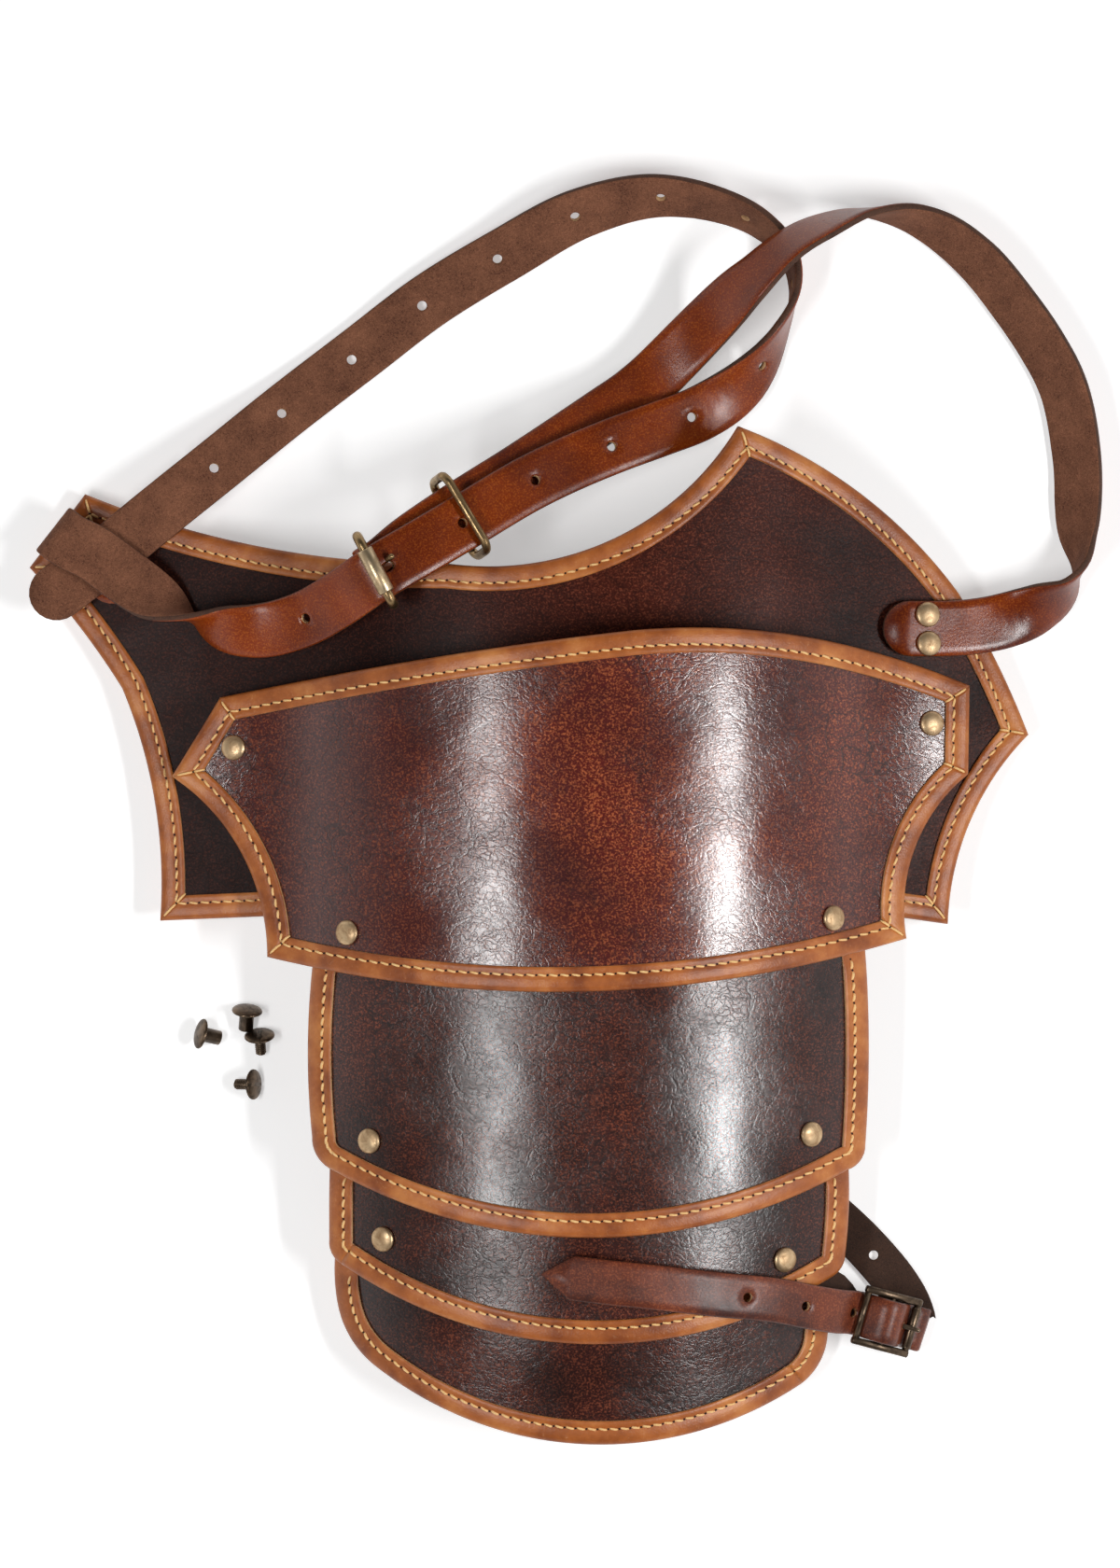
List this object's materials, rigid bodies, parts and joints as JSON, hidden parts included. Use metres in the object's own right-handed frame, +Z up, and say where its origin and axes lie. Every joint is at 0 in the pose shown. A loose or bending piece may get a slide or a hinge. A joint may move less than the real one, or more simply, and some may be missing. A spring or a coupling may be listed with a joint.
{
  "type": "leather pauldron",
  "caption": "Riveted leather shoulder armour: broad shoulder plate and arched arm lames with sewn binding, a buckled chest strap and a buckled arm strap.",
  "frame": {"origin": "middle of the whole part's footprint, on the surface that it lies on", "axes": "+X to the wearer's side that the chest straps leave from, +Y to the neck, +Z up out of the shoulder plate's crest"},
  "size_m": [0.3864, 0.455, 0.0723],
  "materials": {
    "panel_leather": "glossy finished grain, mottled dark brown over red",
    "binding_leather": "waxed natural tan, stitched",
    "chest_strap_leather": "glossy orange-brown grain",
    "arm_strap_leather": "satin brown grain",
    "rivet_brass": "antiqued, satin",
    "buckle_brass": "antiqued, satin",
    "dark_bronze": "dark antiqued metal"
  },
  "bodies": {
    "shoulder": {"shoulder_plate": "panel_leather", "shoulder_binding": "binding_leather", "strap_rivet_caps": "rivet_brass", "strap_rivet_feet": "rivet_brass", "long_strap_rivet_caps": "rivet_brass", "long_strap_rivet_feet": "rivet_brass", "buckle_strap": "chest_strap_leather", "long_strap": "chest_strap_leather", "spare_posts": "dark_bronze", "spare_screws": "dark_bronze"},
    "upper_lame": {"upper_lame": "panel_leather", "upper_lame_binding": "binding_leather", "shoulder_rivet_caps": "rivet_brass", "shoulder_rivet_feet": "rivet_brass", "second_rivet_caps": "rivet_brass", "second_rivet_feet": "rivet_brass"},
    "second_lame": {"second_lame": "panel_leather", "second_lame_binding": "binding_leather", "third_rivet_caps": "rivet_brass", "third_rivet_feet": "rivet_brass"},
    "third_lame": {"third_lame": "panel_leather", "third_lame_binding": "binding_leather", "cuff_rivet_caps": "rivet_brass", "cuff_rivet_feet": "rivet_brass", "arm_strap": "arm_strap_leather", "arm_buckle_strap": "arm_strap_leather"},
    "cuff_lame": {"cuff_lame": "panel_leather", "cuff_lame_binding": "binding_leather"},
    "chest_frame": {"chest_buckle_frame": "buckle_brass"},
    "chest_roller": {"chest_buckle_roller": "buckle_brass"},
    "chest_tongue": {"chest_buckle_tongue": "buckle_brass"},
    "keeper": {"strap_keeper": "buckle_brass"},
    "arm_frame": {"arm_buckle_frame": "dark_bronze"},
    "arm_roller": {"arm_buckle_roller": "dark_bronze"},
    "arm_tongue": {"arm_buckle_tongue": "dark_bronze"}
  },
  "joints": [
    {"name": "upper_lame_hinge", "type": "hinge", "parent": "shoulder", "child": "upper_lame", "pos_m": [0.0078, 0.02535, 0.01504], "axis": [0.9994, 0.0348, 0.0004], "range_deg": [-5, 1]},
    {"name": "second_lame_hinge", "type": "hinge", "parent": "upper_lame", "child": "second_lame", "pos_m": [0.0105, -0.04225, 0.03717], "axis": [0.9995, 0.0296, -0.0107], "range_deg": [-3, 6]},
    {"name": "third_lame_hinge", "type": "hinge", "parent": "second_lame", "child": "third_lame", "pos_m": [0.0105, -0.11785, 0.03201], "axis": [0.9998, 0.0146, -0.0108], "range_deg": [-2, 6]},
    {"name": "cuff_lame_hinge", "type": "hinge", "parent": "third_lame", "child": "cuff_lame", "pos_m": [0.0082, -0.158, 0.02454], "axis": [0.9986, -0.0517, -0.0109], "range_deg": [-0.5, 4]},
    {"name": "chest_buckle_swing", "type": "hinge", "parent": "shoulder", "child": "chest_frame", "pos_m": [-0.0657, 0.0837, 0.0468], "axis": [-0.4695, 0.8829, 0], "range_deg": [-3, 3]},
    {"name": "chest_roller_spin", "type": "hinge", "parent": "chest_frame", "child": "chest_roller", "pos_m": [-0.0657, 0.0837, 0.0618], "axis": [-0.4695, 0.8829, 0], "continuous": true},
    {"name": "chest_tongue_lift", "type": "hinge", "parent": "chest_frame", "child": "chest_tongue", "pos_m": [-0.0657, 0.0837, 0.0468], "axis": [-0.4695, 0.8829, 0], "range_deg": [-3, 3]},
    {"name": "keeper_slide", "type": "slide", "parent": "shoulder", "child": "keeper", "axis": [0.8391, 0.4093, -0.3584], "range_m": [-0.004, 0.004]},
    {"name": "arm_buckle_swing", "type": "hinge", "parent": "third_lame", "child": "arm_frame", "pos_m": [0.117, -0.1849, 0.015], "axis": [0.2756, 0.9613, 0], "range_deg": [-1, 2]},
    {"name": "arm_roller_spin", "type": "hinge", "parent": "arm_frame", "child": "arm_roller", "pos_m": [0.12599, -0.18748, 0.0116], "axis": [0.2756, 0.9613, 0], "continuous": true},
    {"name": "arm_tongue_lift", "type": "hinge", "parent": "arm_frame", "child": "arm_tongue", "pos_m": [0.117, -0.1849, 0.015], "axis": [0.2756, 0.9613, 0], "range_deg": [-4, 0]}
  ]
}
